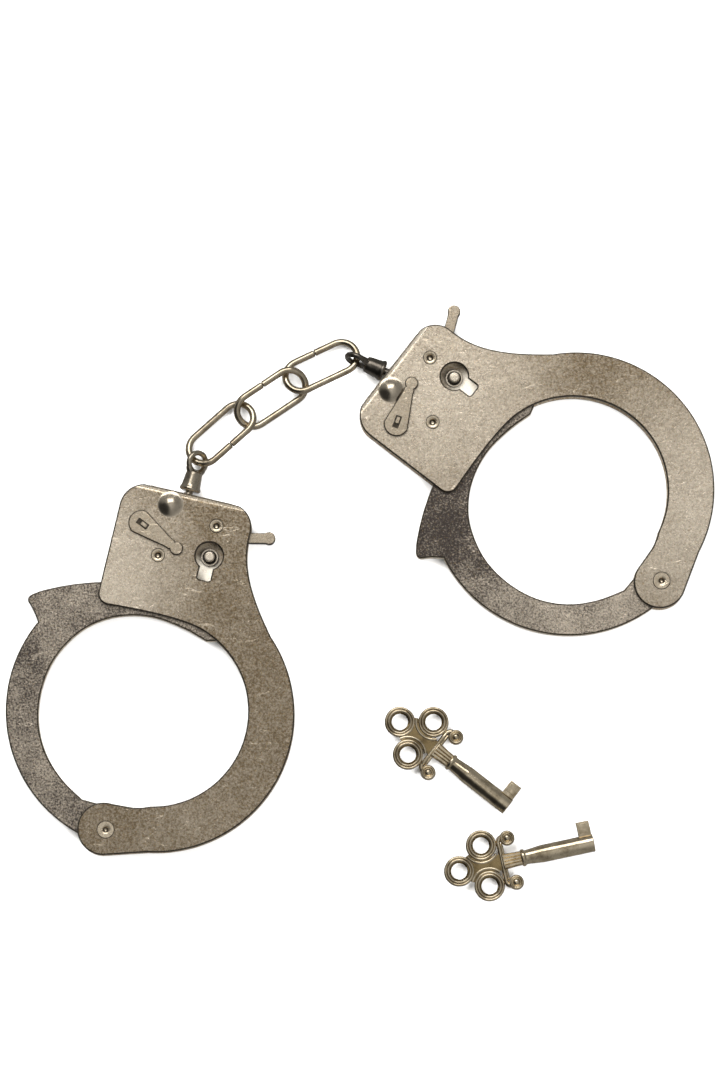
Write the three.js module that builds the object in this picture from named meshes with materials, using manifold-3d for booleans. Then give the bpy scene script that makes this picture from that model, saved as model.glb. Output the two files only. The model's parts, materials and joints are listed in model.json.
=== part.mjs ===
// A pair of single-strand handcuffs: two folded-plate cuffs with ratchet jaws, joined by two
// swivels and three oval links, with their two keys lying beside them. Millimetres, +Z up.
// Each cuff is drawn once, in its own frame: origin on the jaw's pivot, +Y towards the chain,
// +X towards the fixed arm, z = 0 halfway between its two cheeks.
import * as THREE from "three";
import { mergeVertices } from "three/addons/utils/BufferGeometryUtils.js";
import Module from "manifold-3d";

const wasm = await Module();
wasm.setup();

// ---- driving dimensions -------------------------------------------------------------------
const CHEEK = 1.0; // thickness of each cheek plate
const GAP = 4.0; // clear space between the two cheeks
const HALF = GAP / 2 + CHEEK; // half of the cuff's thickness
const INNER = GAP / 2; // half of the clear space
const FIT = 0.12; // clearance of a piece in its hole
const TOP = 94; // height of the fold above the jaw's pivot
const FOLD_RADIUS = 1.8; // outer radius of the fold's edges
const FOLD = { left: -10, right: 13 }; // where the cheeks are joined by the fold

const JAW = 3.4; // thickness of the jaw
const BLADE_RADIUS = 67.3; // the blade's outer edge, round the pivot
const TOOTH_ANGLE = 2.4; // degrees from tooth to tooth
const TOOTH_DEPTH = 0.9;
const TOOTH_COUNT = 11;
const FIRST_TOOTH = 77; // degrees, at the blade's leading end

const PIVOT = { head: 2.35, shank: 1.6, bore: 0.75 };
const RIVET = { head: 1.85, shank: 1.3, bore: 0.85 };
const HEAD_DEPTH = 0.4; // how deep a rivet's head is set into its cheek
const UPPER_RIVET = [10.0, 87.0];
const LOWER_RIVET = [-3.6, 75.6];
const KEYHOLE = { at: [10.0, 78.6], radius: 3.7, slot: 3.6, slotEnd: 71.8 };
const POST = { collar: 2.4, pin: 1.45, groove: 1.85, tail: 1.1, tailHead: 1.7 };
const DOUBLE_LOCK = { at: [-10.0, 83.1], wide: 3.5, knob: 1.85, length: 11.8, thick: 0.8 };
const RELEASE = { hub: 3.1, bar: 2.9, knob: 1.75, offset: 3.3, reach: 13.9 };
const DOME = { at: [-3.5, 89.9], radius: 2.7, height: 1.25 };
const PAWL = { hub: 3.0, thick: 3.0, teeth: 2, liftAngle: 10.5, firstTooth: 98.6 };

const SWIVEL_HOLE = 1.6;
const SWIVEL = { stem: 1.05, head: 1.75, base: 2.9, neck: 2.1, eye: 2.7, wire: 0.8, height: 9.0 };
const LINK = { length: 22.8, width: 11.0, wire: 1.0, split: 0.24 };
const KEY = { bow: 3.15, bowWire: 0.95, ball: 2.1, barrel: 2.4, bore: 1.65, length: 19.5 };

// Where the pieces lie: each cuff's pivot and turn, each link's centre, heading, pitch and roll,
// and each key's collar and heading (degrees).
const CUFFS = {
  a: { at: [-68.8, -62.5], turn: -13.2, doubleLock: -22.9, release: 13.7 },
  b: { at: [81.6, 5.0], turn: 52.3, doubleLock: 17.2, release: 23.7 },
};
// How each swivel sits in its cuff's hole: sideways lean, upward tilt, spin, and offset.
const SEATS = {
  a: { lean: -2, rise: 0, spin: 36.5, offset: 0.45 },
  b: { lean: 15, rise: 4, spin: -75, offset: 0 },
};
const LINKS = [
  { at: [-38.11, 45.67, 2.5], heading: 221.78, pitch: 0.5, roll: 18.3 },
  { at: [-24.43, 55.38, 2.68], heading: 33.95, pitch: 0, roll: 19.0 },
  { at: [-10.8, 64.17, 2.6], heading: 25.65, pitch: 0, roll: -16.6 },
];
const KEYS = [
  { at: [24.5, -44.1], heading: -38.2 },
  { at: [43.9, -69.9], heading: 12 },
];
const CENTRE = [-0.026, 0.35]; // brings the middle of the set's box to the origin

// ---- helpers ------------------------------------------------------------------------------
const rad = THREE.MathUtils.degToRad;

function solid(geometry) {
  const bare = geometry.clone();
  bare.deleteAttribute("normal");
  bare.deleteAttribute("uv");
  const merged = mergeVertices(bare, 1e-4);
  return new wasm.Manifold(
    new wasm.Mesh({
      numProp: 3,
      vertProperties: merged.attributes.position.array,
      triVerts: new Uint32Array(merged.index.array),
    }),
  );
}

function geometryOf(body) {
  const mesh = body.getMesh();
  const geometry = new THREE.BufferGeometry();
  geometry.setAttribute("position", new THREE.BufferAttribute(mesh.vertProperties, 3));
  geometry.setIndex(new THREE.BufferAttribute(mesh.triVerts, 1));
  geometry.computeVertexNormals();
  return geometry;
}

const join = (first, ...others) => others.reduce((sum, next) => sum.add(next), first);
const cut = (first, ...others) => others.reduce((rest, next) => rest.subtract(next), first);

function plate(shape, low, high, curveSegments = 6) {
  const options = { depth: high - low, bevelEnabled: false, curveSegments };
  const geometry = new THREE.ExtrudeGeometry(shape, options);
  geometry.translate(0, 0, low);
  return solid(geometry);
}

function disc([x, y], radius, low, high, sides = 14) {
  const geometry = new THREE.CylinderGeometry(radius, radius, high - low, sides);
  geometry.rotateX(Math.PI / 2);
  geometry.translate(x, y, (low + high) / 2);
  return solid(geometry);
}

function block(xLow, xHigh, yLow, yHigh, zLow, zHigh) {
  const geometry = new THREE.BoxGeometry(xHigh - xLow, yHigh - yLow, zHigh - zLow);
  geometry.translate((xLow + xHigh) / 2, (yLow + yHigh) / 2, (zLow + zHigh) / 2);
  return solid(geometry);
}

// A turned piece from its profile of [radius, height] points, which closes on itself or starts
// and ends on the axis; the axis is +Z.
function turned(profile, sides = 14) {
  const points = profile.map(([r, h]) => new THREE.Vector2(r, h));
  const geometry = new THREE.LatheGeometry(points, sides);
  geometry.rotateX(Math.PI / 2);
  const body = solid(geometry);
  return body.volume() < 0 ? solid(flipped(geometry)) : body;
}

function flipped(geometry) {
  const index = geometry.index.array;
  for (let i = 0; i < index.length; i += 3) {
    [index[i + 1], index[i + 2]] = [index[i + 2], index[i + 1]];
  }
  return geometry;
}

function placed(body, position, rotation = [0, 0, 0]) {
  const euler = new THREE.Euler(...rotation.map(rad));
  const matrix = new THREE.Matrix4().makeRotationFromEuler(euler).setPosition(...position);
  return body.transform(matrix.elements);
}

function arcPoints([x, y], radius, from, to, steps) {
  return Array.from({ length: steps + 1 }, (_, i) => {
    const angle = rad(from + ((to - from) * i) / steps);
    return new THREE.Vector2(x + radius * Math.cos(angle), y + radius * Math.sin(angle));
  });
}

// The convex outline of two round ends joined by straight sides, such as a lever.
function tapered([x1, y1], r1, [x2, y2], r2) {
  const along = Math.atan2(y2 - y1, x2 - x1);
  const spread = Math.acos((r1 - r2) / Math.hypot(x2 - x1, y2 - y1));
  const shape = new THREE.Shape();
  shape.absarc(x1, y1, r1, along + spread, along - spread + 2 * Math.PI, false);
  shape.absarc(x2, y2, r2, along - spread, along + spread, false);
  shape.closePath();
  return shape;
}

const material = (color, roughness, metalness = 1) =>
  new THREE.MeshStandardMaterial({ color, roughness, metalness });
const NICKEL = { color: 0xb9ad97, roughness: 0.38 };
const paint = {
  frame: () => material(NICKEL.color, NICKEL.roughness),
  jaw: () => material(0x857b6d, 0.45),
  rivet: () => material(0xb0a387, 0.35),
  lever: () => material(0xa3967f, 0.4),
  works: () => material(0x8b8374, 0.5),
  swivel: () => material(0x4a443c, 0.4),
  chain: () => material(0xa89c84, 0.28),
  key: () => material(0xa9946c, 0.32),
};

function named(name, body, look) {
  const mesh = new THREE.Mesh(geometryOf(body), look());
  mesh.name = name;
  return mesh;
}

// ---- the folded frame ---------------------------------------------------------------------
// One cheek's outline: the lock's rounded block, the flare into the fixed arm, the ring of the
// arm, and the round end over the jaw's pivot.
const ARM = { outer: { at: [6, 33.5], radius: 37.4 }, inner: { at: [5, 34], radius: 25.7 } };
const PIVOT_END = { at: [-0.6, 0.1], radius: 7.1 };

function cheekOutline() {
  const shape = new THREE.Shape();
  const { outer, inner } = ARM;
  shape.moveTo(-17, 62.4);
  shape.lineTo(-17, TOP - 7);
  shape.absarc(-10, TOP - 7, 7, Math.PI, Math.PI / 2, true);
  shape.lineTo(13, TOP);
  shape.absarc(13, TOP - 6.5, 6.5, Math.PI / 2, 0, true);
  shape.lineTo(19.5, 85);
  shape.bezierCurveTo(19.8, 77, 24.5, 69.5, 31.2, 61.2);
  shape.absarc(...outer.at, outer.radius, rad(47.7), rad(-80), true);
  shape.absarc(...PIVOT_END.at, PIVOT_END.radius, rad(-79), rad(-275), true);
  shape.lineTo(5, 7.4);
  shape.quadraticCurveTo(7.6, 7.6, 10.4, 8.9);
  shape.absarc(...inner.at, inner.radius, rad(-77.5), rad(74), false);
  shape.quadraticCurveTo(5, 60.6, -14, 59.4);
  shape.absarc(-14, 62.4, 3, -Math.PI / 2, -Math.PI, true);
  return shape;
}

function keyholeOutline() {
  const { at, radius, slot, slotEnd } = KEYHOLE;
  const shape = new THREE.Shape();
  const half = slot / 2;
  const meet = Math.asin(half / radius);
  const corner = 0.6;
  shape.moveTo(at[0] + half, slotEnd + corner);
  shape.absarc(...at, radius, -Math.PI / 2 + meet, 1.5 * Math.PI - meet, false);
  shape.lineTo(at[0] - half, slotEnd + corner);
  shape.quadraticCurveTo(at[0] - half, slotEnd, at[0] - half + corner, slotEnd);
  shape.lineTo(at[0] + half - corner, slotEnd);
  shape.quadraticCurveTo(at[0] + half, slotEnd, at[0] + half, slotEnd + corner);
  return shape;
}

// A through hole with a seat for a rivet's head in each cheek's outer face.
function rivetHole(at, { head, shank }) {
  const seat = HEAD_DEPTH + FIT;
  return join(
    disc(at, shank + FIT, -HALF - 1, HALF + 1),
    disc(at, head + FIT, HALF - seat, HALF + 1),
    disc(at, head + FIT, -HALF - 1, -HALF + seat),
  );
}

// The rounded stock that the fold is bent from, seen along X.
function foldedStock() {
  const r = FOLD_RADIUS;
  const profile = new THREE.Shape();
  profile.moveTo(-20, -HALF);
  profile.lineTo(TOP - r, -HALF);
  profile.absarc(TOP - r, -HALF + r, r, -Math.PI / 2, 0, false);
  profile.absarc(TOP - r, HALF - r, r, 0, Math.PI / 2, false);
  profile.lineTo(-20, HALF);
  // The shape's x becomes Y and its y becomes Z.
  return plate(profile, -60, 60, 2).transform(
    new THREE.Matrix4().makeBasis(
      new THREE.Vector3(0, 1, 0),
      new THREE.Vector3(0, 0, 1),
      new THREE.Vector3(1, 0, 0),
    ).elements,
  );
}

function dome() {
  const { at, radius, height } = DOME;
  const sphere = (radius * radius + height * height) / (2 * height);
  const ball = new THREE.SphereGeometry(sphere, 14, 14);
  ball.translate(at[0], at[1], HALF + height - sphere);
  return solid(ball).intersect(disc(at, radius + 1, HALF - 0.3, HALF + 3));
}

function frame() {
  const fold = block(FOLD.left, FOLD.right, TOP - CHEEK, TOP + 5, -HALF, HALF);
  const inside = cut(block(-60, 60, -30, TOP + 10, -INNER, INNER), fold);
  const body = cut(plate(cheekOutline(), -HALF, HALF, 7), inside).intersect(foldedStock());
  const swivelHole = placed(disc([0, 0], SWIVEL_HOLE, -3, 3, 14), [0, TOP, 0], [90, 0, 0]);
  return cut(
    join(body, dome()),
    rivetHole([0, 0], PIVOT),
    rivetHole(UPPER_RIVET, RIVET),
    rivetHole(LOWER_RIVET, RIVET),
    plate(keyholeOutline(), 0, HALF + 1, 4),
    disc(KEYHOLE.at, POST.tail + FIT, -HALF - 1, 0),
    disc(KEYHOLE.at, POST.tailHead + FIT, -HALF - 1, -HALF + HEAD_DEPTH + FIT),
    disc(DOUBLE_LOCK.at, 1.5, 0, HALF + 1),
    swivelHole,
  );
}

// ---- the jaw ------------------------------------------------------------------------------
const JAW_INNER_EDGE = [
  [14.6, 55.9], [8, 57.8], [0, 58.9], [-7.5, 57.9], [-14.3, 54.9], [-19.9, 49.9],
  [-24.3, 42], [-25.8, 33], [-24.5, 24], [-20.6, 16.4], [-14.5, 10.4], [-6.5, 5.6],
];
const JAW_BACK = { at: [3, 34], radius: 38 };

// Saw teeth round the pivot: each rises from its root along the closing side and drops
// straight down on the side that locks.
function teeth(first, count, crest, depth) {
  const points = [];
  for (let i = 0; i < count; i += 1) {
    const start = rad(first + i * TOOTH_ANGLE);
    const end = rad(first + (i + 0.94) * TOOTH_ANGLE);
    const root = crest - depth;
    points.push(new THREE.Vector2(root * Math.cos(start), root * Math.sin(start)));
    points.push(new THREE.Vector2(crest * Math.cos(end), crest * Math.sin(end)));
  }
  return points;
}

function jaw() {
  const lastTooth = FIRST_TOOTH + TOOTH_COUNT * TOOTH_ANGLE;
  const inner = JAW_INNER_EDGE.map(([x, y]) => new THREE.Vector2(x, y));
  const edge = new THREE.SplineCurve(inner).getPoints(30);
  const points = [
    ...arcPoints([0, 0], BLADE_RADIUS, 74, FIRST_TOOTH - 0.1, 2),
    ...teeth(FIRST_TOOTH, TOOTH_COUNT, BLADE_RADIUS, TOOTH_DEPTH),
    ...arcPoints([0, 0], BLADE_RADIUS, lastTooth, 121.6, 12),
    new THREE.Vector2(-36.3, 56.4),
    new THREE.Vector2(-31.1, 50.5),
    ...arcPoints(JAW_BACK.at, JAW_BACK.radius, 154.7, 256, 18),
    new THREE.Vector2(0, -3),
    new THREE.Vector2(0, 4),
    ...edge.reverse(),
    new THREE.Vector2(17.0, 56.5),
    new THREE.Vector2(18.9, 58.6),
  ];
  return cut(
    join(plate(new THREE.Shape(points), -JAW / 2, JAW / 2), disc([0, 0], 6.3, -JAW / 2, JAW / 2, 24)),
    disc([0, 0], PIVOT.shank + FIT, -HALF, HALF),
  );
}

// ---- rivets and the key's post --------------------------------------------------------------
// A rivet with a flush head at each end, and the hollow of its rolled end on the front.
function rivet({ head, shank, bore }) {
  return turned([
    [0, -HALF],
    [head, -HALF],
    [head, -HALF + HEAD_DEPTH],
    [shank, -HALF + HEAD_DEPTH],
    [shank, HALF - HEAD_DEPTH],
    [head, HALF - HEAD_DEPTH],
    [head - 0.15, HALF - 0.04],
    [bore + 0.25, HALF - 0.04],
    [bore, HALF - 0.25],
    [bore, HALF - 1.2],
    [0, HALF - 1.2],
  ]);
}

// The post that the key's barrel slides over: a collar on the rear cheek, and a domed pin.
function keyPost() {
  const floor = -INNER + FIT;
  const tip = HALF - 1.3;
  const dome = Array.from({ length: 5 }, (_, i) => {
    const angle = (i / 4) * (Math.PI / 2);
    return [POST.pin * Math.cos(angle), tip - 0.7 + 0.7 * Math.sin(angle)];
  });
  return turned([
    [0, -HALF],
    [POST.tailHead, -HALF],
    [POST.tailHead, -HALF + HEAD_DEPTH],
    [POST.tail, -HALF + HEAD_DEPTH],
    [POST.tail, floor],
    [POST.collar, floor],
    [POST.collar, floor + 0.9],
    [POST.groove, floor + 0.9],
    [POST.groove, floor + 0.5],
    [POST.pin, floor + 0.5],
    ...dome,
  ]);
}

// ---- levers and the works inside the lock -----------------------------------------------------
// The double-lock lever lies on the front cheek; its stem goes through to the cam. Drawn
// pointing along +X from its pivot.
function doubleLockLever() {
  const { wide, knob, length, thick } = DOUBLE_LOCK;
  const low = HALF + FIT;
  const neck = length - knob * 1.35;
  return cut(
    join(
      plate(tapered([0, 0], wide, [neck, 0], 1.5), low, low + thick, 6),
      disc([length, 0], knob, low, low + thick, 18),
      disc([0, 0], 1.35, INNER - 1.0, low + 0.1, 16),
      block(-1.2, 2.4, -0.7, 0.7, low, low + thick + 0.2),
    ),
    block(-1.5, 2.7, 0.7, 1.0, low + thick - 0.25, low + thick + 1),
    block(-1.5, 2.7, -1.0, -0.7, low + thick - 0.25, low + thick + 1),
  );
}

// The cam on the lever's stem, under the front cheek: turned down, its lobe stands over the
// pawl and keeps it in the teeth.
function doubleLockCam() {
  const top = INNER - FIT;
  return cut(
    plate(tapered([0, 0], 2.3, [0, -1.4], 1.5), -1.2, top, 5),
    disc([0, 0], 1.35 + FIT, INNER - 1.0 - FIT, HALF, 16),
  );
}

// The release lever turns on the upper rivet, at the origin here. Its bar passes below the rivet
// and out of the lock's side to a round knob, and its finger reaches down beside the keyhole.
function releaseLever() {
  const thick = 1.3;
  const { hub, bar, knob, offset, reach } = RELEASE;
  return cut(
    join(
      disc([0, 0], hub, -thick, thick),
      plate(tapered([-1, 1 - offset], bar / 2, [reach, -offset], bar / 2), -thick, thick, 4),
      disc([reach + 0.35, -offset], knob, -thick, thick),
      plate(tapered([1.1, -1.8], 1.5, [4.4, -9.9], 1.1), -thick, thick, 4),
    ),
    disc([0, 0], RIVET.shank + FIT, -HALF, HALF),
  );
}

// The pawl rocks on the lower rivet: two teeth on its left arm over the jaw, and a right arm
// that the key or the release lever pushes down. Drawn engaged, then turned to its lift.
function pawl() {
  const half = PAWL.thick / 2;
  const arm = [
    ...arcPoints([0, 0], BLADE_RADIUS + 0.9, 93, PAWL.firstTooth - 0.3, 3),
    ...teeth(PAWL.firstTooth, PAWL.teeth, BLADE_RADIUS + 0.15, TOOTH_DEPTH),
  ];
  const outline = new THREE.Shape([
    ...arm,
    new THREE.Vector2(-14.6, 67.0),
    new THREE.Vector2(-15.0, 71.0),
    new THREE.Vector2(-12.5, 73.4),
    new THREE.Vector2(-5, 76.5),
    new THREE.Vector2(-2, 76.5),
    new THREE.Vector2(6.0, 72.2),
    new THREE.Vector2(13.5, 72.0),
    new THREE.Vector2(17.8, 73.8),
    new THREE.Vector2(18.4, 72.4),
    new THREE.Vector2(14.0, 69.6),
    new THREE.Vector2(6.0, 69.3),
  ]);
  const body = cut(
    join(plate(outline, -half, half), disc(LOWER_RIVET, PAWL.hub, -half, half, 18)),
    disc(LOWER_RIVET, RIVET.shank + FIT, -HALF, HALF),
  );
  const [x, y] = LOWER_RIVET;
  return body
    .translate([-x, -y, 0])
    .rotate([0, 0, -PAWL.liftAngle])
    .translate([x, y, 0]);
}

// A leaf spring held against the fold, its free end above the pawl's toothed arm.
function pawlSpring() {
  const path = new THREE.CatmullRomCurve3([
    new THREE.Vector3(-6.5, 92.4, 0),
    new THREE.Vector3(-9.5, 92.2, 0),
    new THREE.Vector3(-14.2, 89.0, 0),
    new THREE.Vector3(-15.7, 83.0, 0),
    new THREE.Vector3(-15.2, 78.6, 0),
    new THREE.Vector3(-13.9, 77.2, 0),
  ]);
  const strip = new THREE.Shape();
  strip.moveTo(-1.2, -0.15);
  strip.lineTo(1.2, -0.15);
  strip.lineTo(1.2, 0.15);
  strip.lineTo(-1.2, 0.15);
  return solid(new THREE.ExtrudeGeometry(strip, { steps: 22, extrudePath: path }));
}

// ---- swivels, chain and keys ------------------------------------------------------------------
// A swivel: a round head inside the fold, a stem through its hole, a bell, and an eye. Drawn
// along +Z from the fold's outer face; the eye lies in the XZ plane.
function swivel() {
  const { stem, head, base, neck, eye, wire, height } = SWIVEL;
  const under = -CHEEK - 0.15;
  const crown = height - eye - wire * 0.4; // where the bell runs into the eye
  const ball = Array.from({ length: 6 }, (_, i) => {
    const angle = rad(-90 + (i * (90 + 53)) / 5);
    return [head * Math.cos(angle), under - head + head * Math.sin(angle)];
  });
  const body = turned([
    ...ball,
    [stem, 0.9],
    [base - 0.35, 0.9],
    [base, 1.3],
    [base, 2.0],
    [base - 0.45, 2.4],
    [neck, crown],
    [0, crown + 0.7],
  ], 12);
  const ring = new THREE.TorusGeometry(eye, wire, 6, 18);
  ring.rotateX(Math.PI / 2);
  ring.translate(0, 0, height);
  const shoulders = turned([[0, crown - 0.1], [neck, crown - 0.1], [0, crown + 2.1]], 12);
  const eyeHole = placed(disc([0, 0], eye - wire, -4, 4), [0, 0, height], [90, 0, 0]);
  return join(body, solid(ring), cut(shoulders, eyeHole));
}

// The centre line of a chain link: it starts and ends at the split, halfway along one straight.
class SplitOval extends THREE.Curve {
  getPoint(t, target = new THREE.Vector3()) {
    const radius = LINK.width / 2 - LINK.wire;
    const straight = LINK.length - LINK.width;
    const halfLength = straight + Math.PI * radius;
    const travelled = LINK.split / 2 + t * (2 * halfLength - LINK.split);
    const side = travelled > halfLength ? 1 : -1;
    const s = side > 0 ? 2 * halfLength - travelled : travelled;
    if (s < straight / 2) {
      return target.set(side * s, radius, 0);
    }
    if (s > halfLength - straight / 2) {
      return target.set(side * (halfLength - s), -radius, 0);
    }
    const angle = (s - straight / 2) / radius;
    const x = straight / 2 + radius * Math.sin(angle);
    return target.set(side * x, radius * Math.cos(angle), 0);
  }
}

function link() {
  const section = new THREE.Shape();
  section.absarc(0, 0, LINK.wire, 0, 2 * Math.PI, false);
  return solid(new THREE.ExtrudeGeometry(section, {
    steps: 30,
    curveSegments: 4,
    extrudePath: new SplitOval(),
  }));
}

// A key: a bow of three rings, a bar with a ball at each end, a neck, and a hollow barrel with
// a square bit. Drawn from its collar at the origin, barrel along +X, flat in XY.
function key() {
  const { bow, bowWire, ball, barrel, bore, length } = KEY;
  const centres = [[-17.7, 0], [-10.5, 5.6], [-10.5, -5.6]];
  const rings = centres.map(([x, y]) => {
    const ring = new THREE.TorusGeometry(bow, bowWire, 6, 16);
    ring.translate(x, y, 0);
    return solid(ring);
  });
  const holes = centres.map((at) => disc(at, bow - 0.6, -3, 3, 16));
  const web = new THREE.Shape();
  web.moveTo(-15.2, -2.4);
  web.lineTo(-6, -5.6);
  web.lineTo(-6, 5.6);
  web.lineTo(-15.2, 2.4);
  const balls = [-1, 1].map((side) => {
    const geometry = new THREE.SphereGeometry(ball, 10, 6);
    geometry.scale(1, 1, 0.8);
    geometry.translate(-3.2, side * 6.1, 0);
    return solid(geometry);
  });
  const bar = placed(
    turned([[0, -5.8], [0.8, -5.4], [0.8, 5.4], [0, 5.8]], 8),
    [-5.65, 0, 0],
    [90, 0, 0],
  );
  const neck = placed(
    turned([[0, 0], [2.2, 0], [2.2, 1.4], [1.8, 5.2], [0, 5.2]], 12),
    [-5.6, 0, 0],
    [0, 90, 0],
  ).intersect(block(-8, 1, -4, 4, -1.7, 1.7));
  const stem = placed(turned([
    [0, -0.6],
    [2.1, -0.6],
    [2.35, -0.2],
    [2.35, 0.3],
    [2.0, 0.7],
    [barrel, 5.0],
    [barrel, length],
    [bore, length],
    [bore, length - 9],
    [0, length - 9],
  ]), [0, 0, 0], [0, 90, 0]);
  const bit = block(length - 3.7, length - 0.2, barrel - 0.5, barrel + 3.8, -0.9, 0.9);
  return join(cut(join(plate(web, -0.8, 0.8), ...rings), ...holes), bar, ...balls, neck, stem, bit);
}

// ---- the whole set ----------------------------------------------------------------------------
const set = new THREE.Group();
set.position.set(CENTRE[0], CENTRE[1], 0);

// A mesh moved within its cuff: x, y, and a turn about Z in degrees.
function spot(mesh, [x, y], turn = 0) {
  mesh.position.set(x, y, 0);
  mesh.rotation.z = rad(turn);
  return mesh;
}

function cuff(side) {
  const { at, turn, doubleLock, release } = CUFFS[side];
  const { lean, rise, spin, offset } = SEATS[side];
  const group = new THREE.Group();
  const id = (name) => `${name}_${side}`;
  const swivelMesh = named(id("swivel"), swivel(), paint.swivel);
  const holder = new THREE.Group();
  holder.position.set(offset, TOP - CHEEK / 2, 0);
  holder.rotation.set(rad(rise), 0, rad(lean), "ZXY");
  swivelMesh.position.set(0, CHEEK / 2, 0);
  swivelMesh.rotation.set(-Math.PI / 2, rad(spin), 0, "YXZ");
  holder.add(swivelMesh);
  group.add(
    named(id("frame"), frame(), paint.frame),
    named(id("jaw"), jaw(), paint.jaw),
    named(id("pivot_rivet"), rivet(PIVOT), paint.rivet),
    spot(named(id("upper_rivet"), rivet(RIVET), paint.rivet), UPPER_RIVET),
    spot(named(id("lower_rivet"), rivet(RIVET), paint.rivet), LOWER_RIVET),
    spot(named(id("key_post"), keyPost(), paint.rivet), KEYHOLE.at),
    spot(named(id("double_lock_lever"), doubleLockLever(), paint.lever), DOUBLE_LOCK.at, doubleLock),
    spot(named(id("double_lock_cam"), doubleLockCam(), paint.works), DOUBLE_LOCK.at, doubleLock),
    spot(named(id("release_lever"), releaseLever(), paint.lever), UPPER_RIVET, release),
    named(id("pawl"), pawl(), paint.works),
    named(id("pawl_spring"), pawlSpring(), paint.works),
    holder,
  );
  group.position.set(at[0], at[1], HALF);
  group.rotation.z = rad(turn);
  return group;
}

set.add(cuff("a"), cuff("b"));

LINKS.forEach(({ at, heading, pitch, roll }, i) => {
  const mesh = named(`chain_link_${i + 1}`, link(), paint.chain);
  mesh.position.set(...at);
  mesh.rotation.set(rad(roll), rad(pitch), rad(heading), "ZYX");
  set.add(mesh);
});

KEYS.forEach(({ at, heading }, i) => {
  const mesh = named(`key_${i + 1}`, key(), paint.key);
  mesh.position.set(at[0], at[1], KEY.barrel);
  mesh.rotation.z = rad(heading);
  set.add(mesh);
});

export default set;
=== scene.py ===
"""Looks for a pair of handcuffs lying flat with their two keys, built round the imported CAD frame."""
import json
import math

import bmesh
import bpy
from mathutils import Euler, Matrix, Vector


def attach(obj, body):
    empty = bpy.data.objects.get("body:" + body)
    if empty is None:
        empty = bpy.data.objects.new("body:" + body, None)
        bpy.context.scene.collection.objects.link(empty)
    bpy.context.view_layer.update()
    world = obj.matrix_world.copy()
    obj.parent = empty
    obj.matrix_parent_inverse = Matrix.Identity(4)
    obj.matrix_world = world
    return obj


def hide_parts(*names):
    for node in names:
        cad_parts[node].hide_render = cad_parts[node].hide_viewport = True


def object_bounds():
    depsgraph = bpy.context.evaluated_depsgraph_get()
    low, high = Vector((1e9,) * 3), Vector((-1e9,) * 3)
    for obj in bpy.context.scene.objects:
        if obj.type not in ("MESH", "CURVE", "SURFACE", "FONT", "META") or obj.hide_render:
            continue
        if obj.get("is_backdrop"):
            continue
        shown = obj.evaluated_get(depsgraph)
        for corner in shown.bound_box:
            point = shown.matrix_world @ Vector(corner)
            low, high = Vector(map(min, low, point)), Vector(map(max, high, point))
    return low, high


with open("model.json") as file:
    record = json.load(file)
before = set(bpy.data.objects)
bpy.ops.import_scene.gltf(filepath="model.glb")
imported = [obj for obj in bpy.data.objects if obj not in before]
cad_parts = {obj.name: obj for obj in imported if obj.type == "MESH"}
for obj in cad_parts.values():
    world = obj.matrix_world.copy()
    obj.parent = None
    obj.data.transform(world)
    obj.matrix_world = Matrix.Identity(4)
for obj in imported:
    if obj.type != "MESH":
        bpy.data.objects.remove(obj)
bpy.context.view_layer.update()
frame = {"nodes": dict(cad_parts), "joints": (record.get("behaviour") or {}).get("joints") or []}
JOINTS = {j["name"]: j for j in frame["joints"]}
MM = 0.001

# ---- the CAD's driving dimensions, in millimetres ------------------------------------------
CHEEK, GAP, TOP, FOLD_RADIUS = 1.0, 4.0, 94.0, 1.8
HALF, INNER, FIT = GAP / 2 + CHEEK, GAP / 2, 0.12
FOLD_LEFT, FOLD_RIGHT = -10.0, 13.0
JAW, BLADE_RADIUS = 3.4, 67.3
TOOTH_ANGLE, TOOTH_DEPTH, TOOTH_COUNT, FIRST_TOOTH = 2.4, 0.9, 11, 77.0
PIVOT = dict(head=2.35, shank=1.6, bore=0.75)
RIVET = dict(head=1.85, shank=1.3, bore=0.85)
POST = dict(pin=1.45, groove=1.85, collar=2.4, tail=1.1, tail_head=1.7)
HEAD_DEPTH = 0.4
UPPER_RIVET, LOWER_RIVET = (10.0, 87.0), (-3.6, 75.6)
KEYHOLE, KEYHOLE_RADIUS, SLOT_HALF, SLOT_END = (10.0, 78.6), 3.7, 1.8, 71.8
RIVETS = {
    "pivot_rivet": ((0, 0), PIVOT),
    "upper_rivet": (UPPER_RIVET, RIVET),
    "lower_rivet": (LOWER_RIVET, RIVET),
}
STEM, STEM_RADIUS = (-10.0, 83.1), 1.35
DOME, DOME_RADIUS, DOME_HEIGHT = (-3.5, 89.9), 3.6, 1.2
ROUNDED = 0.4  # the radius on the cheeks' and the fold's edges
JAW_ROUNDED = 0.42
ROUND_WIRE = 0.94  # a round wire that stays inside the CAD's many-sided one
SWIVEL = dict(hole=1.6, stem=1.05, head=1.75, base=2.9, neck=2.1, eye=2.7, wire=0.8, height=9.0)
LINK = dict(length=22.8, width=11.0, wire=1.0, split=0.24)
TURN = {"a": -13.2, "b": 52.3}  # each cuff's angle on the floor, in degrees
LEVER_TURN = {"a": -22.9, "b": 17.2}
RELEASE_TURN = {"a": 13.7, "b": 23.7}
SEATS = {"a": dict(lean=-2, rise=0, spin=36.5, offset=0.45), "b": dict(lean=15, rise=4, spin=-75, offset=0)}
CENTRE = (-0.026, 0.35)  # what the links' and keys' places are measured from, in the frame
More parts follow.
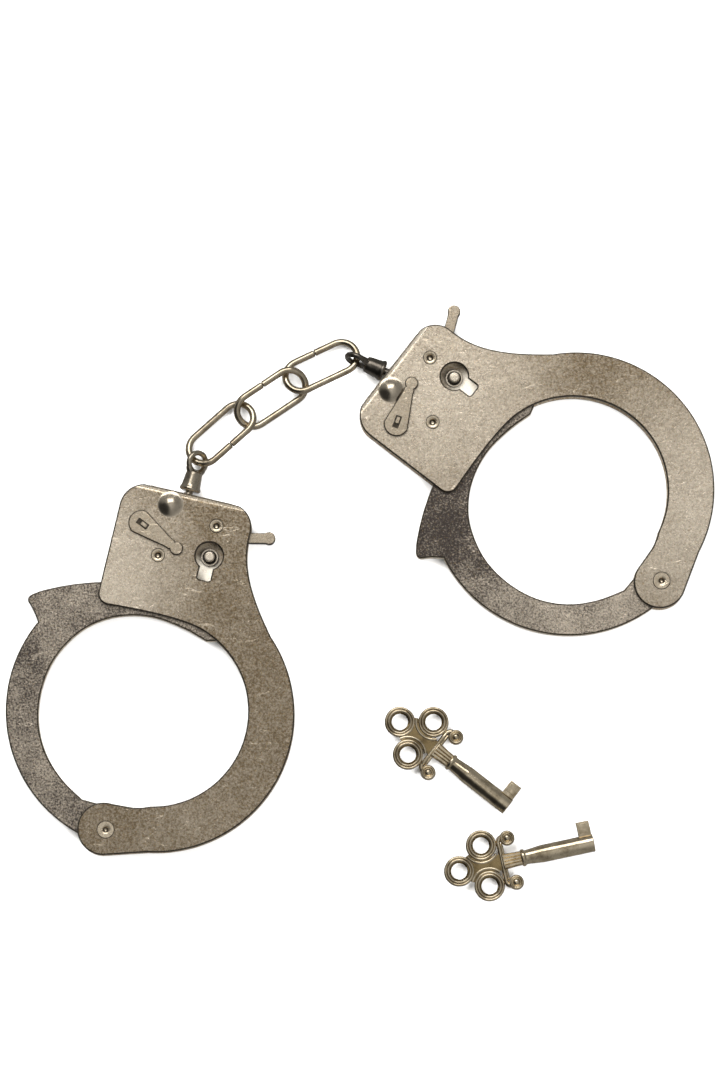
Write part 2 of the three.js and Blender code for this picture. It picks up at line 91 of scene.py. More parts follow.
# each link's place, heading, pitch and roll
LINKS = [
    ((-38.11, 45.67, 2.5), 221.78, 0.5, 18.3),
    ((-24.43, 55.38, 2.68), 33.95, 0.0, 19.0),
    ((-10.8, 64.17, 2.6), 25.65, 0.0, -16.6),
]
KEYS = [((24.5, -44.1), -38.2), ((43.9, -69.9), 12.0)]  # each key's place and heading
KEY = dict(length=19.5, barrel=2.4, bore=1.65, bore_depth=9.0, loop_x=-10.5, loop_y=5.6, far_loop_x=-17.7)
KEY_AXIS = KEY["barrel"]  # a key's barrel lies on the floor


# ---- outlines ----------------------------------------------------------------------------------
def arc(cx, cy, radius, start, end, steps):
    """Points round a circle from one angle to another, in degrees."""
    angles = [math.radians(start + (end - start) * i / steps) for i in range(steps + 1)]
    return [(cx + radius * math.cos(a), cy + radius * math.sin(a)) for a in angles]


def bezier(points, steps):
    """A Bezier curve of any degree, in two or three dimensions."""
    out = []
    for i in range(steps + 1):
        t, row = i / steps, [Vector(p) for p in points]
        while len(row) > 1:
            row = [a.lerp(b, t) for a, b in zip(row, row[1:])]
        out.append(tuple(row[0]))
    return out


def spline(points, per_span=5):
    """A smooth curve through the points (uniform Catmull-Rom)."""
    ext = [2 * Vector(points[0]) - Vector(points[1]), *map(Vector, points)]
    ext.append(2 * Vector(points[-1]) - Vector(points[-2]))
    out = []
    for i in range(1, len(ext) - 2):
        p0, p1, p2, p3 = ext[i - 1:i + 3]
        for k in range(per_span):
            t = k / per_span
            out.append(tuple(0.5 * (2 * p1 + (p2 - p0) * t + (2 * p0 - 5 * p1 + 4 * p2 - p3) * t * t
                                    + (3 * p1 - 3 * p2 + p3 - p0) * t ** 3)))
    return out + [tuple(points[-1])]


def tapered(x1, y1, r1, x2, y2, r2, steps=16):
    """Two round ends joined by straight sides."""
    along = math.degrees(math.atan2(y2 - y1, x2 - x1))
    spread = math.degrees(math.acos((r1 - r2) / math.hypot(x2 - x1, y2 - y1)))
    return (arc(x1, y1, r1, along + spread, along - spread + 360, steps)
            + arc(x2, y2, r2, along - spread, along + spread, steps))


def clean(points, gap=0.02):
    """The same outline without points that all but coincide."""
    out = [points[0]]
    for p in points[1:]:
        if (Vector(p) - Vector(out[-1])).length > gap:
            out.append(p)
    if (Vector(out[0]) - Vector(out[-1])).length <= gap:
        out.pop()
    return out


def cheek_outline():
    """The C-shaped cheek, from the fold's left end round the arm to the pivot and back."""
    return clean(
        [(-17, 62.4)] + arc(-10, TOP - 7, 7, 180, 90, 14) + arc(13, TOP - 6.5, 6.5, 90, 0, 14)
        + bezier([(19.5, 85), (19.8, 77), (24.5, 69.5), (31.2, 61.2)], 18)
        + arc(6, 33.5, 37.4, 47.7, -80, 60) + arc(-0.6, 0.1, 7.1, -79, -275, 34)
        + bezier([(5, 7.4), (7.6, 7.6), (10.4, 8.9)], 6) + arc(5, 34, 25.7, -77.5, 74, 60)
        + bezier([(12.08, 58.7), (5, 60.6), (-14, 59.4)], 16) + arc(-14, 62.4, 3, -90, -180, 8))


def keyhole_outline():
    x, y = KEYHOLE
    meet = math.degrees(math.asin(SLOT_HALF / KEYHOLE_RADIUS))
    c = 0.6
    return clean(
        arc(x, y, KEYHOLE_RADIUS, -90 + meet, 270 - meet, 40)
        + arc(x - SLOT_HALF + c, SLOT_END + c, c, 180, 270, 5)
        + arc(x + SLOT_HALF - c, SLOT_END + c, c, -90, 0, 5))


def teeth(first, count, crest, depth):
    """A saw's edge: each tooth climbs slowly from its root to its crest, then drops."""
    out = []
    for i in range(count):
        start, end = (math.radians(first + (i + s) * TOOTH_ANGLE) for s in (0, 0.94))
        out.append(((crest - depth) * math.cos(start), (crest - depth) * math.sin(start)))
        out.append((crest * math.cos(end), crest * math.sin(end)))
    return out


def jaw_outline():
    """The jaw, from its teeth round the tip and the back of the bow to the pivot, and back inside."""
    inner = [(14.6, 55.9), (8, 57.8), (0, 58.9), (-7.5, 57.9), (-14.3, 54.9), (-19.9, 49.9),
             (-24.3, 42), (-25.8, 33), (-24.5, 24), (-20.6, 16.4), (-14.5, 10.4), (-6.5, 5.6)]
    last = FIRST_TOOTH + TOOTH_COUNT * TOOTH_ANGLE
    return clean(
        arc(0, 0, BLADE_RADIUS, 74, FIRST_TOOTH - 0.1, 3)
        + teeth(FIRST_TOOTH, TOOTH_COUNT, BLADE_RADIUS, TOOTH_DEPTH)
        + arc(0, 0, BLADE_RADIUS, last, 119.5, 20)
        + bezier([(-33.1, 58.5), (-36.2, 56.8), (-34.9, 55.2)], 8)
        + bezier([(-34.9, 55.2), (-33.0, 53.6), (-31.1, 50.5)], 6)[1:]
        + arc(3, 34, 38, 154.7, 256, 50) + arc(0, 0, 6.3, -90, 84, 20)
        + [p for p in reversed(spline(inner)) if math.hypot(*p) > 8.6] + [(17.0, 56.5), (18.9, 58.6)])


# ---- mesh making, in millimetres ------------------------------------------------------------
def holder(name, mesh):
    obj = bpy.data.objects.new(name, mesh)
    bpy.context.scene.collection.objects.link(obj)
    return obj


def mesh_from(name, verts, faces):
    mesh = bpy.data.meshes.new(name)
    mesh.from_pydata([tuple(v) for v in verts], [], faces)
    bm = bmesh.new()
    bm.from_mesh(mesh)
    bmesh.ops.remove_doubles(bm, verts=bm.verts, dist=1e-5)
    bmesh.ops.recalc_face_normals(bm, faces=bm.faces)
    bm.to_mesh(mesh)
    bm.free()
    return mesh


def prism(outline, low, high):
    n = len(outline)
    verts = [(x, y, low) for x, y in outline] + [(x, y, high) for x, y in outline]
    faces = [list(range(n))[::-1], list(range(n, 2 * n))]
    faces += [[i, (i + 1) % n, (i + 1) % n + n, i + n] for i in range(n)]
    return mesh_from("prism", verts, faces)


def round_plate(outline, low, high, edge=0.15, holes=(), steps=3):
    """A flat plate with rounded edges, its holes rounded as well."""
    curve = bpy.data.curves.new("plate", "CURVE")
    curve.dimensions, curve.fill_mode = "2D", "BOTH"
    curve.extrude, curve.bevel_depth, curve.offset = (high - low) / 2 - edge, edge, -edge
    curve.bevel_resolution = steps
    for loop in (outline, *holes):
        line = curve.splines.new("POLY")
        line.points.add(len(loop) - 1)
        for point, (x, y) in zip(line.points, loop):
            point.co = (x, y, 0, 1)
        line.use_cyclic_u = True
    obj = holder("plate", curve)
    bpy.context.view_layer.update()
    mesh = bpy.data.meshes.new_from_object(obj.evaluated_get(bpy.context.evaluated_depsgraph_get()))
    bpy.data.objects.remove(obj)
    mesh.transform(Matrix.Translation((0, 0, (low + high) / 2)))
    bm = bmesh.new()
    bm.from_mesh(mesh)
    bmesh.ops.remove_doubles(bm, verts=bm.verts, dist=2e-4)
    bmesh.ops.recalc_face_normals(bm, faces=bm.faces)
    bm.to_mesh(mesh)
    bm.free()
    return mesh


def lathe(profile, sides=48):
    """Turned about +Z from [radius, height] points that start and end on the axis."""
    verts, rings = [], []
    for r, h in profile:
        count = 1 if r < 1e-6 else sides
        rings.append(list(range(len(verts), len(verts) + count)))
        verts += [(r * math.cos(2 * math.pi * k / sides), r * math.sin(2 * math.pi * k / sides), h)
                  for k in range(count)]
    faces = []
    for a, b in zip(rings, rings[1:]):
        for k in range(sides):
            face = [a[k % len(a)], a[(k + 1) % len(a)], b[(k + 1) % len(b)], b[k % len(b)]]
            face = [v for i, v in enumerate(face) if v not in face[:i]]
            if len(face) > 2:
                faces.append(face)
    return mesh_from("lathe", verts, faces)


def rounded(profile, radius=0.12, steps=3):
    """The same profile with its corners rounded off."""
    out = [profile[0]]
    for before, corner, after in zip(profile, profile[1:], profile[2:]):
        b, c, a = Vector(before), Vector(corner), Vector(after)
        reach = min(radius, (b - c).length / 2.2, (a - c).length / 2.2)
        start, end = c + (b - c).normalized() * reach, c + (a - c).normalized() * reach
        out += [tuple(p) for p in bezier([start, c, end], steps)]
    return out + [profile[-1]]


def sweep(path, radii, sides=16, closed=False, squash=1.0):
    """A round bar along the path, with domed ends unless it closes on itself."""
    path = [Vector(p) for p in path]
    radii = radii if isinstance(radii, list) else [radii] * len(path)
    verts, n = [], len(path)
    normal = None
    for i, p in enumerate(path):
        ahead = path[(i + 1) % n] if closed or i < n - 1 else p
        behind = path[i - 1] if closed or i > 0 else p
        tangent = (ahead - behind).normalized()
        if normal is None:
            normal = tangent.orthogonal().normalized()
            if abs(tangent.z) < 0.9:
                normal = Vector((0, 0, 1)).cross(tangent).normalized()
        normal = (normal - tangent * normal.dot(tangent)).normalized()
        side = tangent.cross(normal)
        for k in range(sides):
            a = 2 * math.pi * k / sides
            verts.append(p + (normal * math.cos(a) + side * math.sin(a) * squash) * radii[i])
    faces = []
    for i in range(n if closed else n - 1):
        for k in range(sides):
            a, b = i * sides, ((i + 1) % n) * sides
            faces.append([a + k, a + (k + 1) % sides, b + (k + 1) % sides, b + k])
    if not closed:
        faces += [list(range(sides))[::-1], list(range((n - 1) * sides, n * sides))]
    return mesh_from("sweep", verts, faces)


def ring(radius, wire, around=56, sides=18):
    circle = [(*p, 0) for p in arc(0, 0, radius, 0, 360 - 360 / around, around - 1)]
    return sweep(circle, wire, sides, True)


def joined(parts):
    """One mesh from (mesh, matrix) pairs."""
    bm = bmesh.new()
    for mesh, matrix in parts:
        copy = mesh.copy()
        copy.transform(matrix)
        bm.from_mesh(copy)
        bpy.data.meshes.remove(copy)
    out = bpy.data.meshes.new("joined")
    bm.to_mesh(out)
    bm.free()
    return out


def applied(obj):
    """The object's mesh with its modifiers applied; the object goes."""
    bpy.context.view_layer.update()
    mesh = bpy.data.meshes.new_from_object(obj.evaluated_get(bpy.context.evaluated_depsgraph_get()))
    bpy.data.objects.remove(obj)
    return mesh


def boolean(base, tools, operation="DIFFERENCE"):
    """The base cut by each tool, or joined or limited to it."""
    obj, others = holder("base", base), []
    for tool in tools:
        other = holder("tool", tool)
        others.append(other)
        modifier = obj.modifiers.new("cut", "BOOLEAN")
        modifier.operation, modifier.object, modifier.solver = operation, other, "EXACT"
    mesh = applied(obj)
    for other in others:
        bpy.data.objects.remove(other)
    return mesh


def bevelled(mesh, width, chosen, angle=38, segments=4):
    """Rounds the outside corners sharper than the angle whose two ends are both `chosen`."""
    bm = bmesh.new()
    bm.from_mesh(mesh)
    bmesh.ops.remove_doubles(bm, verts=bm.verts, dist=2e-3)
    bmesh.ops.dissolve_limit(bm, angle_limit=math.radians(0.6), verts=bm.verts, edges=bm.edges)
    weight = bm.edges.layers.float.new("bevel_weight_edge")
    for edge in bm.edges:
        corner = len(edge.link_faces) == 2 and edge.calc_face_angle_signed() > math.radians(angle)
        edge[weight] = float(corner and all(chosen(v.co) for v in edge.verts))
    bm.to_mesh(mesh)
    bm.free()
    obj = holder("bevel", mesh)
    modifier = obj.modifiers.new("edge", "BEVEL")
    modifier.width, modifier.segments, modifier.limit_method = width, segments, "WEIGHT"
    modifier.use_clamp_overlap = False
    return applied(obj)


def shift(x=0, y=0, z=0):
    return Matrix.Translation((x, y, z))


def turn(degrees, axis="Z"):
    return Matrix.Rotation(math.radians(degrees), 4, axis)


UNIT = Matrix.Diagonal((MM, MM, MM, 1))
FLAT = Matrix.Identity(4)


def cuff_matrix(side):
    """From a cuff's own millimetres to the row's metres: its pivot is where the CAD's joint is."""
    x, y, _ = JOINTS[f"jaw_swing_{side}"]["pos_m"]
    return shift(x, y, HALF * MM) @ turn(TURN[side]) @ UNIT


# ---- materials ------------------------------------------------------------------------------
class Nodes:
    """A short way to write a material's nodes."""

    def __init__(self, name):
        self.material = bpy.data.materials.new(name)
        self.material.use_nodes = True
        self.tree = self.material.node_tree
        self.shader = self.tree.nodes["Principled BSDF"]
        self.where = self.add("ShaderNodeTexCoord").outputs["Object"]

    def add(self, kind, **values):
        node = self.tree.nodes.new(kind)
        for key, value in values.items():
            setattr(node, key, value)
        return node

    def link(self, a, b):
        self.tree.links.new(a, b)

    def mapped(self, scale, rotation=(0, 0, 0)):
        node = self.add("ShaderNodeMapping")
        node.inputs["Scale"].default_value = [s / MM for s in scale]
        node.inputs["Rotation"].default_value = [math.radians(r) for r in rotation]
        self.link(self.where, node.inputs["Vector"])
        return node.outputs["Vector"]

    def noise(self, scale, detail=3.0, rough=0.55, rotation=(0, 0, 0), distortion=0.0):
        scale = scale if isinstance(scale, tuple) else (scale,) * 3
        node = self.add("ShaderNodeTexNoise")
        node.inputs["Scale"].default_value = 1.0
        node.inputs["Detail"].default_value = detail
        node.inputs["Roughness"].default_value = rough
        node.inputs["Distortion"].default_value = distortion
        self.link(self.mapped(scale, rotation), node.inputs["Vector"])
        return node.outputs["Fac"]

    def ramp(self, value, stops):
        node = self.add("ShaderNodeValToRGB")
        while len(node.color_ramp.elements) < len(stops):
            node.color_ramp.elements.new(0.5)
        for element, (position, colour) in zip(node.color_ramp.elements, stops):
            element.position = position
            colour = (colour,) * 3 if isinstance(colour, (int, float)) else colour
            element.color = (*colour, 1)
        self.link(value, node.inputs["Fac"])
        return node.outputs["Color"]

    def mix(self, factor, a, b):
        node = self.add("ShaderNodeMix", data_type="RGBA")
        for socket, value in zip((node.inputs[0], node.inputs[6], node.inputs[7]), (factor, a, b)):
            if isinstance(value, (int, float)):
                socket.default_value = value if socket.type == "VALUE" else (value, value, value, 1)
            elif isinstance(value, tuple):
                socket.default_value = (*value, 1)
            else:
                self.link(value, socket)
        return node.outputs[2]

    def near(self, x, y, reach, strength):
        """`strength` at a place in the frame, in millimetres, easing to nothing at its reach."""
        node = self.add("ShaderNodeVectorMath", operation="DISTANCE")
        self.link(self.mapped((1, 1, 0)), node.inputs[0])
        node.inputs[1].default_value = (x, y, 0)
        share = self.maths("DIVIDE", node.outputs["Value"], reach)
        return self.maths("MULTIPLY", self.ramp(share, [(0.0, 1.0), (0.45, 0.72), (1.0, 0.0)]), strength)

    def maths(self, operation, a, b=0.0):
        node = self.add("ShaderNodeMath", operation=operation)
        for socket, value in zip(node.inputs, (a, b)):
            if isinstance(value, (int, float)):
                socket.default_value = value
            else:
                self.link(value, socket)
        return node.outputs[0]

    def bump(self, height, distance):
        node = self.add("ShaderNodeBump")
        node.inputs["Distance"].default_value = distance * MM
        node.inputs["Strength"].default_value = 1.0
        self.link(height, node.inputs["Height"])
        self.link(node.outputs["Normal"], self.shader.inputs["Normal"])


def scratches(n):
    """Fine scratches that run several ways: 1 where there is one, 0 elsewhere."""
    total = None
    for angle, scale in ((17, 0.10), (74, 0.07), (128, 0.13), (161, 0.06), (42, 0.09)):
        wander = n.noise((scale, scale * 4, 0.3), 1.0, 0.4, (0, 0, angle), 0.9)
        line = n.ramp(wander, [(0.4965, 0.0), (0.5, 1.0), (0.5035, 0.0)])
        where = n.ramp(n.noise(0.11, 1.0, 0.5, (0, 0, angle * 2)), [(0.56, 0.0), (0.6, 1.0)])
        lines = n.maths("MULTIPLY", line, where)
        total = lines if total is None else n.maths("MAXIMUM", total, lines)
    return total


def plated(name, light, dark, speck, roughness=0.3, lit_and_shaded_zones=(), tone=0.5, grain=0.5,
           metallic=0.93, spread=0.7, cloudy=0.3):
    """Nickel plating on pressed steel: finely speckled with brassy spots, and scratched.

    It is paler or darker round some places, as painted light and shade, each (x, y, reach, strength) in the
    frame's millimetres.
    `tone` is the mean mix of dark and light, `spread` the speckle's contrast, `cloudy` the clouding's,
    and `grain` the speckle's relief."""
    n = Nodes(name)
    fine = n.ramp(n.noise(2.1, 2, 0.7), [(0.34, 0.0), (0.66, 1.0)])
    cloud = n.noise(0.12, 6, 0.68)
    level = n.maths("ADD", n.maths("MULTIPLY", n.maths("SUBTRACT", fine, 0.5), spread),
                    n.maths("MULTIPLY", n.maths("SUBTRACT", cloud, 0.5), cloudy))
    level = n.maths("ADD", level, tone)
    # painted light and shade: each place makes the plating paler or darker round it
    for x, y, reach, strength in lit_and_shaded_zones:
        level = n.maths("ADD", level, n.near(x, y, reach, strength))
    colour = n.mix(level, dark, light)
    spots = n.ramp(n.noise(1.7, 3, 0.7), [(0.56, 0.0), (0.66, 1.0)])
    colour = n.mix(n.maths("MULTIPLY", spots, 0.32), colour, speck)
    lines = scratches(n)
    colour = n.mix(n.maths("MULTIPLY", lines, 0.38), colour, tuple(min(1, c * 1.35) for c in light))
    n.link(colour, n.shader.inputs["Base Color"])
    n.shader.inputs["Metallic"].default_value = metallic
    rough = n.maths("MULTIPLY_ADD", n.noise(0.8, 4, 0.7), 0.24)
    rough.node.inputs[2].default_value = roughness - 0.12
    n.link(rough, n.shader.inputs["Roughness"])
    waves = n.maths("MULTIPLY", n.noise(0.16, 2, 0.5), 2.2)
    height = n.maths("ADD", n.maths("MULTIPLY", fine, grain), waves)
    n.bump(n.maths("SUBTRACT", height, n.maths("MULTIPLY", lines, 0.6)), 0.045)
    return n.material


def polished(name, light, dark, roughness=0.16, tarnish=0.4):
    """Bright plating on cast or drawn wire: smooth, with soft waviness and darker stains."""
    n = Nodes(name)
    stain = n.ramp(n.noise(0.28, 4, 0.6), [(0.42, 0.0), (0.7, 1.0)])
    colour = n.mix(n.maths("MULTIPLY", stain, tarnish), light, dark)
    specks = n.ramp(n.noise(2.4, 2, 0.5), [(0.62, 0.0), (0.72, 1.0)])
    colour = n.mix(n.maths("MULTIPLY", specks, 0.35), colour, tuple(c * 0.6 for c in dark))
    n.link(colour, n.shader.inputs["Base Color"])
    n.shader.inputs["Metallic"].default_value = 1.0
    rough = n.maths("MULTIPLY_ADD", n.noise(0.9, 3, 0.6), 0.18)
    rough.node.inputs[2].default_value = roughness - 0.05
    n.link(rough, n.shader.inputs["Roughness"])
    n.bump(n.maths("ADD", n.noise(0.45, 2, 0.5), n.maths("MULTIPLY", n.noise(2.6, 2, 0.5), 0.12)), 0.05)
    return n.material


# painted light: the plate and fold are paler round these places, where light falls brighter on the frame
LIT_ZONES = ((-72, 8, 32, 0.68), (20, 56, 40, 0.6), (92, 25, 44, 0.6), (-40, -64, 26, 0.1))
# painted shade and light: the jaws are darker or paler round these places, standing in for reflected dark
# and bright studio
JAW_LIT_AND_SHADED_ZONES = ((20, 24, 32, -0.5), (56, -2, 36, 0.3), (-90, 0, 40, -0.08))
# painted light: a pale pool on the back cheek's inside under each keyhole slot
SLOT_FLOOR_LIGHT = [(*(cuff_matrix(side) @ Vector((KEYHOLE[0], SLOT_END + 1.6, 0)) / MM).xy, 6.5, 0.95)
               for side in "ab"]
LOOK = {
    "plate": plated("nickel_plate", (0.75, 0.66, 0.537), (0.15, 0.107, 0.058), (0.46, 0.31, 0.135),
                    0.28, LIT_ZONES, 0.195, spread=0.5),
    "well": plated("keyhole_floor_lit", (1.0, 0.94, 0.82), (0.2, 0.145, 0.085), (0.6, 0.48, 0.3),
                   0.4, SLOT_FLOOR_LIGHT, 0.12, metallic=0.2, spread=0.25),
    # painted highlight: the fold is a paler copy of the plate, as if lit along its top
    "fold": plated("folded_edge_lit", (0.80, 0.715, 0.59), (0.34, 0.275, 0.19), (0.5, 0.38, 0.2),
                   0.28, LIT_ZONES, 0.35, metallic=0.8),
    # painted shade: the dark edge look stands in for the shadow and dark reflection on every rounded edge
    "edge": plated("edge_painted_shade", (0.10, 0.085, 0.065), (0.025, 0.021, 0.017), (0.16, 0.12, 0.08), 0.34),
    "dome": polished("dome_plate", (0.60, 0.525, 0.415), (0.38, 0.315, 0.23), 0.18, 0.4),
    "jaw": plated("jaw_plate", (0.60, 0.52, 0.42), (0.06, 0.05, 0.045), (0.40, 0.28, 0.13),
                  0.28, JAW_LIT_AND_SHADED_ZONES, 0.41, 0.7, spread=1.0, cloudy=1.5),
    "wall": plated("jaw_wall", (0.60, 0.51, 0.38), (0.26, 0.21, 0.145), (0.40, 0.28, 0.13),
                   0.3, metallic=0.5),
    "rivet": plated("rivet_plate", (0.74, 0.65, 0.51), (0.32, 0.255, 0.17), (0.50, 0.35, 0.16),
                    0.22, tone=0.55, grain=0.2, spread=0.4),
    "post": plated("post_plate", (0.84, 0.76, 0.64), (0.5, 0.42, 0.31), (0.60, 0.47, 0.28),
                   0.25, tone=0.6, grain=0.2, metallic=0.88, spread=0.4),
    "lever": plated("lever_plate", (0.70, 0.61, 0.48), (0.27, 0.215, 0.15), (0.48, 0.34, 0.17),
                    0.28, tone=0.48, grain=0.3, spread=0.4),
    "works": plated("works_steel", (0.62, 0.56, 0.46), (0.30, 0.26, 0.20), (0.4, 0.32, 0.2), 0.4),
    "swivel_a": polished("swivel_plate", (0.48, 0.42, 0.33), (0.14, 0.12, 0.09), 0.16, 0.8),
    # painted shade: the second swivel is a darker copy of the first, the same part shown in shade
    "swivel_b": polished("swivel_b_shaded_copy", (0.17, 0.15, 0.125), (0.035, 0.03, 0.026), 0.2, 0.8),
    "chain": polished("chain_plate", (0.56, 0.48, 0.36), (0.25, 0.195, 0.125), 0.13, 0.6),
    "key": polished("key_plate", (0.66, 0.565, 0.41), (0.26, 0.20, 0.12), 0.1, 0.75),
    # painted shade: the wells inside the rings, the web and the gussets are darker, as shade in the key's
    # hollows
    "recess": polished("key_recess_shade", (0.34, 0.25, 0.125), (0.10, 0.07, 0.035), 0.24, 0.7),
}


SHARP = 40  # degrees between two faces past which the edge between them shades as a corner


def finish_mesh(name, mesh, matrix, body, nodes, looks, choose=lambda face: 0, weighted=True):
    """Puts a mesh made in millimetres into the row frame, with its materials, body and node.

    `choose` gives a face's place in the list of looks."""
    mesh = mesh.copy()
    mesh.materials.clear()
    for look in looks:
        mesh.materials.append(LOOK[look])
    for face in mesh.polygons:
        face.material_index = choose(face)
    mesh.transform(matrix)
    mesh.name = name
    mesh.shade_smooth()
    mesh.set_sharp_from_angle(angle=math.radians(SHARP))
    obj = holder(name, mesh)
    if weighted:
        modifier = obj.modifiers.new("even_shading", "WEIGHTED_NORMAL")
        modifier.keep_sharp, modifier.weight = True, 60
    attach(obj, body)
    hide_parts(*nodes)


# ---- the pieces, each in its own millimetres ---------------------------------------------------
def disc(x, y, radius, low, high, sides=48):
    return prism(arc(x, y, radius, 0, 360 - 360 / sides, sides - 1), low, high)


def rivet_hole(x, y, sizes):
    """Cutters for a rivet's shank and for the seats of its two heads."""
    seat, head = HEAD_DEPTH + FIT, sizes["head"] + FIT
    return [disc(x, y, sizes["shank"] + FIT, -HALF - 1, HALF + 1),
            disc(x, y, head, HALF - seat, HALF + 1),
            disc(x, y, head, -HALF - 1, -HALF + seat)]


def folded_frame():
    """Two cheeks cut from one block, joined by the rounded fold at the top, with the dome raised on one."""
    body = prism(cheek_outline(), -HALF, HALF)
    wide, below, above = 70, -30, TOP + 9  # well past the outline on every side
    inside = prism([(-wide, below), (wide, below), (wide, above), (FOLD_RIGHT, above),
                    (FOLD_RIGHT, TOP - CHEEK), (FOLD_LEFT, TOP - CHEEK), (FOLD_LEFT, above), (-wide, above)],
                   -INNER, INNER)
    r = FOLD_RADIUS
    profile = ([(-20, -HALF)] + arc(TOP - r, -HALF + r, r, -90, 0, 8)
               + arc(TOP - r, HALF - r, r, 0, 90, 8) + [(-20, HALF)])
    stock = prism(profile, -60, 60)  # the section across the fold, stood along X on the next line
    stock.transform(Matrix(((0, 0, 1, 0), (1, 0, 0, 0), (0, 1, 0, 0), (0, 0, 0, 1))))
    body = boolean(body, [stock], "INTERSECT")
    swivel_hole = disc(0, 0, SWIVEL["hole"], -3, 3)
    swivel_hole.transform(shift(0, TOP, 0) @ turn(90, "X"))
    cutters = [inside, swivel_hole, prism(keyhole_outline(), 0, HALF + 1),
               disc(*KEYHOLE, POST["tail"] + FIT, -HALF - 1, 0),
               disc(*KEYHOLE, POST["tail_head"] + FIT, -HALF - 1, -HALF + HEAD_DEPTH + FIT),
               disc(*STEM, STEM_RADIUS + 0.15, 0, HALF + 1)]
    for spot, sizes in RIVETS.values():
        cutters += rivet_hole(*spot, sizes)

    def rolled(p):
        """On an outer edge of the sheet, and not round a rivet's head."""
        outside = abs(p.z) > HALF - 0.01 or p.y > TOP - 0.01
        on_fold = p.y > TOP - FOLD_RADIUS and abs(p.z) > INNER - 0.01
        clear = all(math.dist(p[:2], spot) > sizes["head"] + 0.2 for spot, sizes in RIVETS.values())
        return (outside or on_fold) and clear

    body = bevelled(boolean(body, cutters), ROUNDED, rolled)
    steps = 24
    swell = [(DOME_RADIUS * i / steps,
              HALF + DOME_HEIGHT * math.cos(math.pi / 2 * (i / steps) ** 1.15) ** 1.7) for i in range(steps)]
    bump = lathe(swell + [(DOME_RADIUS, HALF), (DOME_RADIUS - 0.1, HALF - 0.2), (0, HALF - 0.2)])
    return joined([(body, FLAT), (bump, shift(*DOME))])


def rivet(head, shank, bore):
    """Flush heads, the front one rolled over round a pit, as a swaged rivet is."""
    roll = [(head, HALF - HEAD_DEPTH), (head, HALF - 0.16), (head - 0.14, HALF - 0.02),
            (head - 0.45, HALF + 0.0), (bore + 0.42, HALF - 0.03), (bore + 0.12, HALF - 0.14),
            (bore, HALF - 0.42), (bore * 0.92, HALF - 0.9), (bore * 0.5, HALF - 1.15), (0, HALF - 1.2)]
    return lathe([(0, -HALF), (head - 0.1, -HALF), (head, -HALF + 0.1), (head, -HALF + HEAD_DEPTH),
                  (shank, -HALF + HEAD_DEPTH), (shank, HALF - HEAD_DEPTH)] + roll)


def key_post():
    """Swaged into the back cheek, with a collar, a groove round the pin, and the pin itself."""
    floor, tip, head = -INNER + FIT, HALF - 1.3, -HALF + HEAD_DEPTH
    pin, groove, collar, tail, tail_head = POST.values()
    top = rounded([(pin, floor + 0.5), (pin, tip - 0.35), (pin - 0.3, tip), (0, tip)], 0.12)
    base = rounded([(0, -HALF), (tail_head, -HALF), (tail_head, head), (tail, head), (tail, floor),
                    (collar, floor), (collar, floor + 0.9), (groove, floor + 0.9), (groove, floor + 0.5),
                    (pin, floor + 0.5)], 0.14)
    return lathe(base[:-1] + top)


def double_lock_lever():
    """The teardrop lever with its staked slot, and the stem below it."""
    low, thick, length, knob = HALF + FIT, 0.8, 11.8, 1.85
    neck_x = length - knob * 1.35
    knob_start = 138
    outline = clean(
        arc(0, 0, 3.5, 101, 259, 30) + bezier([(-0.67, -3.44), (4.5, -2.45), (neck_x - 0.6, -1.55)], 8)
        + bezier([(neck_x - 0.6, -1.55), (neck_x + 0.5, -1.42), (neck_x + 0.9, -1.5)], 4)
        + arc(length, 0, knob, -knob_start, knob_start, 26)
        + bezier([(neck_x + 0.9, 1.5), (neck_x + 0.5, 1.42), (neck_x - 0.6, 1.55)], 4)
        + bezier([(neck_x - 0.6, 1.55), (4.5, 2.45), (-0.67, 3.44)], 8))
    slot = [(-1.3, -0.85), (2.2, -0.85), (2.2, 0.85), (-1.3, 0.85)]
    plate = round_plate(outline, low, low + thick, 0.3)
    plate = boolean(plate, [prism(slot, low + 0.32, low + 2)])
    stake = round_plate([(-0.1, -0.62), (1.95, -0.62), (1.95, 0.62), (-0.1, 0.62)],
                        low + 0.2, low + thick + 0.1, 0.2)
    stem = disc(0, 0, STEM_RADIUS, INNER - 1.0, low + 0.25)
    return joined([(plate, FLAT), (stake, FLAT), (stem, FLAT)])


def release_lever():
    """The thumb lever: its hub on the upper rivet, the arm that sticks out, and the finger inside."""
    thick, reach, offset, bar, knob = 1.3, 13.9, 3.3, 1.45, 1.75
    tip = reach + 0.35
    side = math.degrees(math.asin((bar + 0.02) / knob))
    outline = clean(
        arc(-1, 1 - offset, bar, 90, 262, 12)
        + [(4.0, -offset - bar + 0.12), (tip - knob * 1.5, -offset - bar)]
        + arc(tip, -offset, knob, -180 + side, 180 - side, 26)
        + [(tip - knob * 1.5, -offset + bar), (2.2, -offset + bar + 0.3)])
    hub = lathe(rounded([(0, -thick), (3.1, -thick), (3.1, thick), (0, thick)], 0.15))
    finger = round_plate(tapered(1.1, -1.8, 1.5, 4.4, -9.9, 1.1), -thick + 0.05, thick - 0.05, 0.15)
    body = round_plate(outline, -thick + 0.02, thick - 0.02, 0.3, steps=4)
    body = boolean(boolean(hub, [body], "UNION"), [finger], "UNION")
    return boolean(body, [disc(0, 0, RIVET["shank"] + FIT, -HALF, HALF)])


